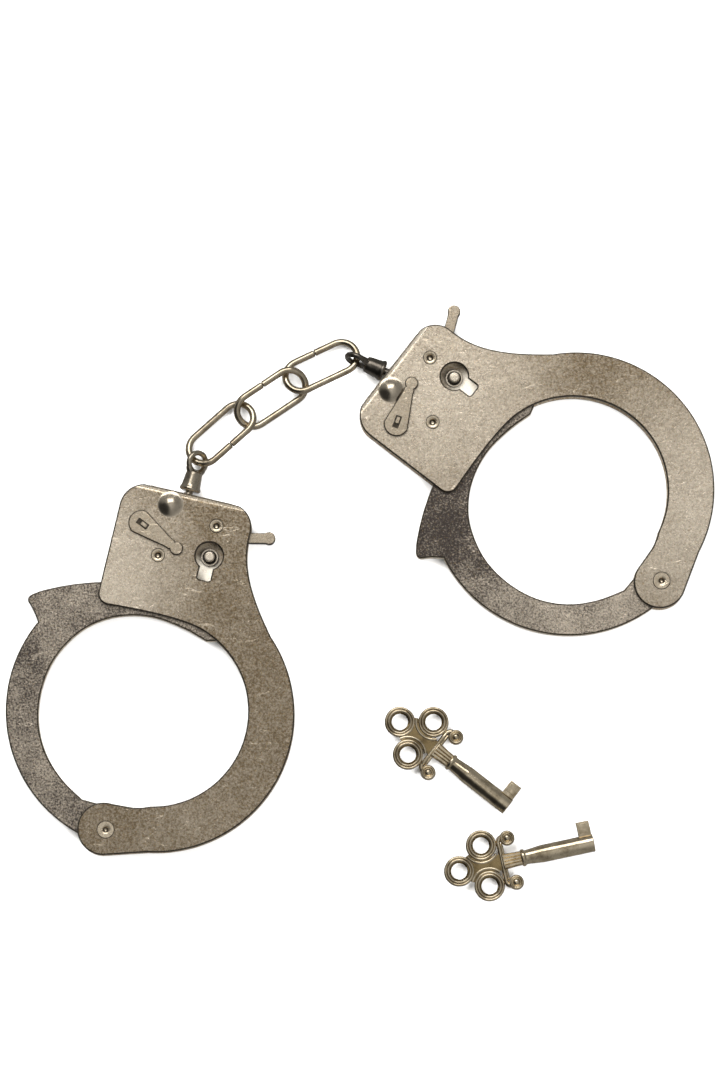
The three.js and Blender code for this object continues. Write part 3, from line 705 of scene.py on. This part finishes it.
def swivel():
    """Along +Z from the fold's outer face; the eye lies in the XZ plane."""
    s = SWIVEL
    under, crown = -CHEEK - 0.15, s["height"] - s["eye"] - s["wire"] * 0.4
    ball = [(s["head"] * math.cos(math.radians(a)),
             under - s["head"] + s["head"] * math.sin(math.radians(a))) for a in range(-90, 54, 9)]
    bell = rounded([(s["stem"], 0.9), (s["base"] - 0.35, 0.9), (s["base"], 1.25), (s["base"], 1.7),
                    (s["base"] - 0.3, 2.3), (s["neck"] + 0.4, 3.2), (s["neck"] + 0.2, crown - 0.6),
                    (s["neck"] + 0.1, crown + 0.1)], 0.4)
    cap = [(s["neck"] - 0.55, crown + 0.55), (0.9, crown + 0.78), (0, crown + 0.82)]
    eye = ring(s["eye"], s["wire"] * ROUND_WIRE)
    shoulders = []
    for sign in (-1, 1):
        path = bezier([(sign * 0.7, 0, crown - 0.3), (sign * 1.7, 0, crown + 0.35),
                       (sign * 2.35, 0, crown + 1.5)], 8)
        shoulders.append((sweep(path, [1.2 - 0.05 * i for i in range(9)], 16), FLAT))
    upright = shift(0, 0, s["height"]) @ turn(90, "X")
    return joined([(lathe(ball + bell + cap), FLAT), (eye, upright), *shoulders])


def link():
    """A bent wire whose two ends meet at the split, halfway along one side."""
    r, straight = LINK["width"] / 2 - LINK["wire"], LINK["length"] - LINK["width"]
    gap = LINK["split"] / 6  # the ends all but meet
    path = [(-gap, r, 0), (-gap - 0.2, r, 0), (-straight / 2, r, 0)]
    path += [(-straight / 2 + x, y, 0) for x, y in arc(0, 0, r, 90, 270, 26)[1:]]
    path += [(straight / 2 + x, y, 0) for x, y in arc(0, 0, r, -90, 90, 26)]
    path += [(gap + 0.2, r, 0), (gap, r, 0)]
    wire = LINK["wire"] * ROUND_WIRE
    radii = [wire] * len(path)
    radii[0] = radii[-1] = wire * 0.72
    return sweep(path, radii, 20)


def key_bow():
    """Three ringed loops, the bands between them, the cross bar, and the two scrolls with balls."""
    parts, sunk = [], []
    loop_x, loop_y = KEY["loop_x"], KEY["loop_y"]
    for x, y in ((KEY["far_loop_x"], 0), (loop_x, loop_y), (loop_x, -loop_y)):
        for radius, wire, lift in ((3.72, 0.4, 0.4), (3.02, 0.34, 0.5)):
            parts += [(ring(radius, wire, 64, 16), shift(x, y, side * lift)) for side in (-1, 1)]
        well = lathe_ring([(3.9, 0.2), (3.9, -0.2), (3.36, -0.25), (2.7, -0.5), (2.2, -0.1), (2.2, 0.1),
                           (2.7, 0.5), (3.36, 0.25)])
        sunk.append((well, shift(x, y, 0)))
    for sign in (-1, 1):
        band = [(loop_x + px, sign * loop_y + sign * py) for px, py in arc(0, 0, 4.75, 205, 318, 24)]
        for lift in (-0.25, 0.25):
            parts.append((sweep([(x, y, lift) for x, y in band], 0.5, 12), FLAT))
        curl = ((-5.9, 5.3), (-5.6, 6.6), (-4.6, 7.0), (-3.4, 6.2))
        scroll = bezier([(x, sign * y, 0) for x, y in curl], 10)
        parts.append((sweep(scroll, [0.62 + 0.02 * i for i in range(11)], 14), FLAT))
        boss = rounded([(0, -1.55), (1.3, -1.5), (2.0, -0.85), (2.1, 0), (2.0, 0.85), (1.75, 1.3),
                        (1.45, 1.3), (1.25, 0.85), (1.05, 0.85), (0.75, 1.3), (0.35, 1.5), (0, 1.54)], 0.14)
        parts.append((lathe(boss, 40), shift(-3.2, sign * 6.1, 0)))
    web = [(-15.4, -2.2), (-13.2, -2.9), (-7.2, -1.9), (-6.0, -2.4)]
    web += [(x, -y) for x, y in reversed(web)]
    sunk.append((round_plate(web, -0.62, 0.62, 0.15), FLAT))
    gusset = ((-14.9, 3.2), (-14.2, 1.9), (-11.6, 1.9), (-12.4, 3.2), (-13.6, 4.4))
    for sign in (-1, 1):
        outline = [(x, sign * y) for x, y in gusset]
        sunk.append((round_plate(outline[::sign], -0.5, 0.5, 0.12), FLAT))
    steps = 12
    for x, wire, reach in ((-5.85, 0.62, 5.75), (-5.1, 0.42, 5.1)):
        bar = [(x, -reach + 2 * reach * i / steps, 0) for i in range(steps + 1)]
        radii = [wire * (0.6 if i in (0, steps) else 1) for i in range(steps + 1)]
        parts.append((sweep(bar, radii, 14, squash=1.25), FLAT))
    return parts, sunk


def lathe_ring(profile, sides=64):
    """A ring from a closed profile of [radius, height] points round the Z axis."""
    n, verts, faces = len(profile), [], []
    for k in range(sides):
        a = 2 * math.pi * k / sides
        verts += [(r * math.cos(a), r * math.sin(a), h) for r, h in profile]
    for k in range(sides):
        a, b = k * n, ((k + 1) % sides) * n
        faces += [[a + i, a + (i + 1) % n, b + (i + 1) % n, b + i] for i in range(n)]
    return mesh_from("ring", verts, faces)


def key_shank():
    """The fluted neck, the collar, and the hollow barrel with its square bit, along +X."""
    parts = []
    for spread in (-1.0, -0.5, 0.0, 0.5, 1.0):  # the five flutes, side by side
        path = [(-5.3 + 5.1 * t / 8, spread * (1.85 - 0.25 * t / 8 * (2 - t / 8)), 0) for t in range(9)]
        height = 2.1 if abs(spread) < 0.6 else 1.75
        parts.append((sweep(path, 0.36, 12, squash=height / 0.5), FLAT))
    core = round_plate([(-5.6, -1.9), (0, -1.6), (0, 1.6), (-5.6, 1.9)], -1.15, 1.15, 0.2)
    parts.append((core, FLAT))
    length, barrel, bore = KEY["length"], KEY["barrel"], KEY["bore"]
    bottom = length - KEY["bore_depth"]
    profile = rounded([(0, -0.6), (2.05, -0.6), (2.35, -0.3), (2.35, 0.3), (1.95, 0.65), (2.02, 1.6),
                       (2.2, 3.4), (barrel, 5.4), (barrel, length), (bore, length), (bore, bottom),
                       (0, bottom)], 0.22, 4)
    parts.append((lathe(profile, 56), turn(90, "Y")))
    x0, x1, y0, y1 = length - 3.7, length - 0.2, barrel - 0.5, barrel + 3.8
    bit = round_plate([(x0, y0), (x1, y0), (x1, y1), (x0, y1)], -0.9, 0.9, 0.14)
    left, right, foot, head = x0 + 0.5, x1 - 0.5, y0 + 1.2, y1 - 0.5
    panel = round_plate([(left, foot), (right, foot), (right, head), (left, head)], -0.97, 0.97, 0.1)
    return parts + [(bit, FLAT), (panel, FLAT)]


# ---- putting the pieces on the frame -------------------------------------------------------------
FRAME_LOOKS = ["plate", "edge", "fold", "dome", "well"]


def flat_faces(face):
    """0 on the flat of a plate, 1 on its edge, where the dark edge look is painted shade."""
    return 0 if abs(face.normal.z) > 0.985 else 1


def frame_faces(face):
    """Places in FRAME_LOOKS."""
    x, y, z = face.center
    if z > HALF + 0.001:
        return FRAME_LOOKS.index("dome")
    if abs(z + INNER) < 0.01 and face.normal.z > 0.9:  # the back cheek's inside, seen through the keyhole, painted pale with a pool of light
        return FRAME_LOOKS.index("well")
    at_fold = y > TOP - FOLD_RADIUS - 0.3 and FOLD_LEFT - 0.1 < x < FOLD_RIGHT + 0.1
    # the fold's rounded faces take the paler fold look, a painted highlight
    if at_fold and abs(face.normal.x) < 0.5 and abs(face.normal.z) < 0.98:
        return FRAME_LOOKS.index("fold")
    return flat_faces(face)


def jaw_faces(face):
    """2 on the upright walls, and as on any plate elsewhere."""
    return 2 if abs(face.normal.z) < 0.2 else flat_faces(face)


def shadowed(inner, outer, rim):
    """Painted shade: dark between two radii and beyond the rim, where a turned piece's hollows and outer
    edge fall in shade.
    """
    def dark(face):
        radius = math.hypot(*face.center[:2])
        return int(inner <= radius < outer or radius > rim)

    return dark


def lever_faces(face):
    """Painted shade: dark on the edges and in the slot, whose floor is just above the cheek."""
    return 1 if abs(face.center.z - HALF - FIT - 0.3) < 0.05 else flat_faces(face)


FRAME, LEVER, RELEASE = folded_frame(), double_lock_lever(), release_lever()
SWIVEL_MESH, POST_MESH = swivel(), key_post()
PIVOT_HOLE = arc(0, 0, PIVOT["shank"] + FIT, 0, 350, 35)
JAW_MESH = round_plate(jaw_outline(), -JAW / 2, JAW / 2, JAW_ROUNDED, [PIVOT_HOLE])

post_groove_shade = shadowed(POST["pin"] - 0.05, POST["groove"] - 0.01, POST["collar"] - 0.1)

for side in "ab":
    place = cuff_matrix(side)
    seat = SEATS[side]
    body = f"cuff_{side}"
    finish_mesh(f"folded_frame_{side}", FRAME, place, body, [f"frame_{side}"],
                FRAME_LOOKS, frame_faces)
    finish_mesh(f"ratchet_jaw_{side}", JAW_MESH, place, f"jaw_{side}", [f"jaw_{side}"],
                ["jaw", "edge", "wall"], jaw_faces)
    for node, (spot, sizes) in RIVETS.items():
        rivet_groove_shade = shadowed(sizes["bore"] * 0.4, sizes["bore"] * 0.8, sizes["head"] - 0.13)
        finish_mesh(f"swaged_{node}_{side}", rivet(**sizes), place @ shift(*spot), body, [f"{node}_{side}"],
                    ["rivet", "edge"], rivet_groove_shade, weighted=False)
    finish_mesh(f"lock_post_{side}", POST_MESH, place @ shift(*KEYHOLE), body, [f"key_post_{side}"],
                ["post", "edge"], post_groove_shade, weighted=False)
    finish_mesh(f"lock_lever_{side}", LEVER, place @ shift(*STEM) @ turn(LEVER_TURN[side]),
                f"double_lock_{side}", [f"double_lock_lever_{side}"], ["lever", "edge"],
                lever_faces)
    finish_mesh(f"quick_release_{side}", RELEASE, place @ shift(*UPPER_RIVET) @ turn(RELEASE_TURN[side]),
                f"release_lever_{side}", [f"release_lever_{side}"], ["lever", "edge"],
                flat_faces)
    tipped = Euler([math.radians(v) for v in (seat["rise"], 0, seat["lean"])], "YXZ").to_matrix().to_4x4()
    socket = (shift(seat["offset"], TOP - CHEEK / 2, 0) @ tipped
              @ shift(0, CHEEK / 2, 0) @ turn(seat["spin"], "Y") @ turn(-90, "X"))
    finish_mesh(f"swivel_eye_{side}", SWIVEL_MESH, place @ socket, f"swivel_{side}", [f"swivel_{side}"],
                [f"swivel_{side}"], weighted=False)

LINK_MESH = link()
for i, (at, heading, pitch, roll) in enumerate(LINKS, 1):
    place = shift(*((v + c) * MM for v, c in zip(at, (*CENTRE, 0))))
    place = place @ turn(heading) @ turn(pitch, "Y") @ turn(roll, "X")
    finish_mesh(f"wire_link_{i}", LINK_MESH, place @ UNIT, f"link_{i}", [f"chain_link_{i}"],
                ["chain"], weighted=False)

BRIGHT, SUNK = key_bow()
KEY_MESH, RECESS = joined(BRIGHT + key_shank()), joined(SUNK)
whole = joined([(KEY_MESH, FLAT), (RECESS, FLAT)])
bright_faces = len(KEY_MESH.polygons)
for i, ((x, y), heading) in enumerate(KEYS, 1):
    place = shift((x + CENTRE[0]) * MM, (y + CENTRE[1]) * MM, KEY_AXIS * MM) @ turn(heading) @ UNIT
    # the sunk parts take the darker recess look: painted shade
    finish_mesh(f"bow_key_{i}", whole, place, f"key_{i}", [f"key_{i}"], ["key", "recess"],
                choose=lambda face: 0 if face.index < bright_faces else 1, weighted=False)

for side in "ab":
    for node in ("double_lock_cam", "pawl", "pawl_spring"):
        mesh = frame["nodes"][f"{node}_{side}"].data
        mesh.materials.clear()
        mesh.materials.append(LOOK["works"])

# ---- floor, light and camera -----------------------------------------------------------------------
low, high = (Vector(v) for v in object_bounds())
reach = 3.0
floor = holder("floor", mesh_from("floor", [(-reach, -reach, 0), (reach, -reach, 0), (reach, reach, 0),
                                            (-reach, reach, 0)], [[0, 1, 2, 3]]))
floor.location.z = low.z - 0.00005
paper = Nodes("floor_paper")
tint = paper.ramp(paper.noise(0.01, 2, 0.5), [(0.3, (0.93, 0.925, 0.915)), (0.7, (0.95, 0.948, 0.945))])
paper.link(tint, paper.shader.inputs["Base Color"])
paper.shader.inputs["Roughness"].default_value = 0.9
floor.data.materials.append(paper.material)
floor.visible_glossy = False  # the metal reflects the dark of the studio round it, not the paper
floor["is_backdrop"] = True


def area_light(name, at, size, energy, reflected=True):
    """A rectangle of light aimed at the origin."""
    data = bpy.data.lights.new(name, "AREA")
    data.shape, data.size, data.size_y = "RECTANGLE", *size
    data.energy, data.color = energy, (1, 0.99, 0.975)
    obj = holder(name, data)
    obj.location = at
    obj.rotation_euler = (-Vector(at)).to_track_quat("-Z", "Y").to_euler()
    obj.visible_glossy = reflected


area_light("key_light", (-0.06, 0.50, 0.62), (0.62, 0.42), 2.8)
area_light("paper_light", (-0.6, 0.6, 1.2), (1.0, 1.0), 36.0, False)
area_light("paper_fill", (0.9, -0.5, 1.2), (1.0, 1.0), 34.0, False)

world = bpy.data.worlds.new("studio")
bpy.context.scene.world = world
world.use_nodes = True
tree = world.node_tree
background = tree.nodes["Background"]
coords, split = tree.nodes.new("ShaderNodeTexCoord"), tree.nodes.new("ShaderNodeSeparateXYZ")
sky = tree.nodes.new("ShaderNodeValToRGB")
for element, (position, shade) in zip(
        [*sky.color_ramp.elements, *(sky.color_ramp.elements.new(0.5) for _ in range(3))],
        ((0.0, 0.32), (0.3, 0.27), (0.62, 0.29), (0.86, 0.46), (1.0, 0.62))):
    element.position, element.color = position, (shade, shade * 0.995, shade * 0.98, 1)
tree.links.new(coords.outputs["Generated"], split.inputs[0])
tree.links.new(split.outputs["Z"], sky.inputs[0])
DARK_SIDE = Vector((-0.74, -0.42, 0.52)).normalized()  # where the studio is dark: low, at the left and front
side_on, falloff = tree.nodes.new("ShaderNodeVectorMath"), tree.nodes.new("ShaderNodeValToRGB")
side_on.operation = "DOT_PRODUCT"
side_on.inputs[1].default_value = DARK_SIDE
for element, (position, shade) in zip(falloff.color_ramp.elements, ((0.62, 1.0), (0.86, 0.12))):
    element.position, element.color = position, (shade, shade, shade, 1)
darker = tree.nodes.new("ShaderNodeMix")
darker.data_type, darker.blend_type, darker.inputs[0].default_value = "RGBA", "MULTIPLY", 1.0
tree.links.new(coords.outputs["Generated"], side_on.inputs[0])
tree.links.new(side_on.outputs["Value"], falloff.inputs[0])
tree.links.new(sky.outputs[0], darker.inputs[6])
tree.links.new(falloff.outputs[0], darker.inputs[7])
tree.links.new(darker.outputs[2], background.inputs["Color"])
background.inputs["Strength"].default_value = 1.0
bpy.context.scene.view_settings.view_transform = "Standard"

ELEVATION, DISTANCE = 83.5, 1.3
VIEW_HEIGHT = 0.2938  # what the frame's height takes in, in metres
target = Vector((CENTRE[0] * MM - 0.0002, CENTRE[1] * MM + 0.0164, 0.003))
camera_data = bpy.data.cameras.new("camera")
camera_data.lens = camera_data.sensor_width * DISTANCE / VIEW_HEIGHT
camera = holder("camera", camera_data)
tilt = math.radians(ELEVATION)
camera.location = target + Vector((0, -math.cos(tilt), math.sin(tilt))) * DISTANCE
camera.rotation_euler = (math.pi / 2 - tilt, 0, 0)
bpy.context.scene.camera = camera
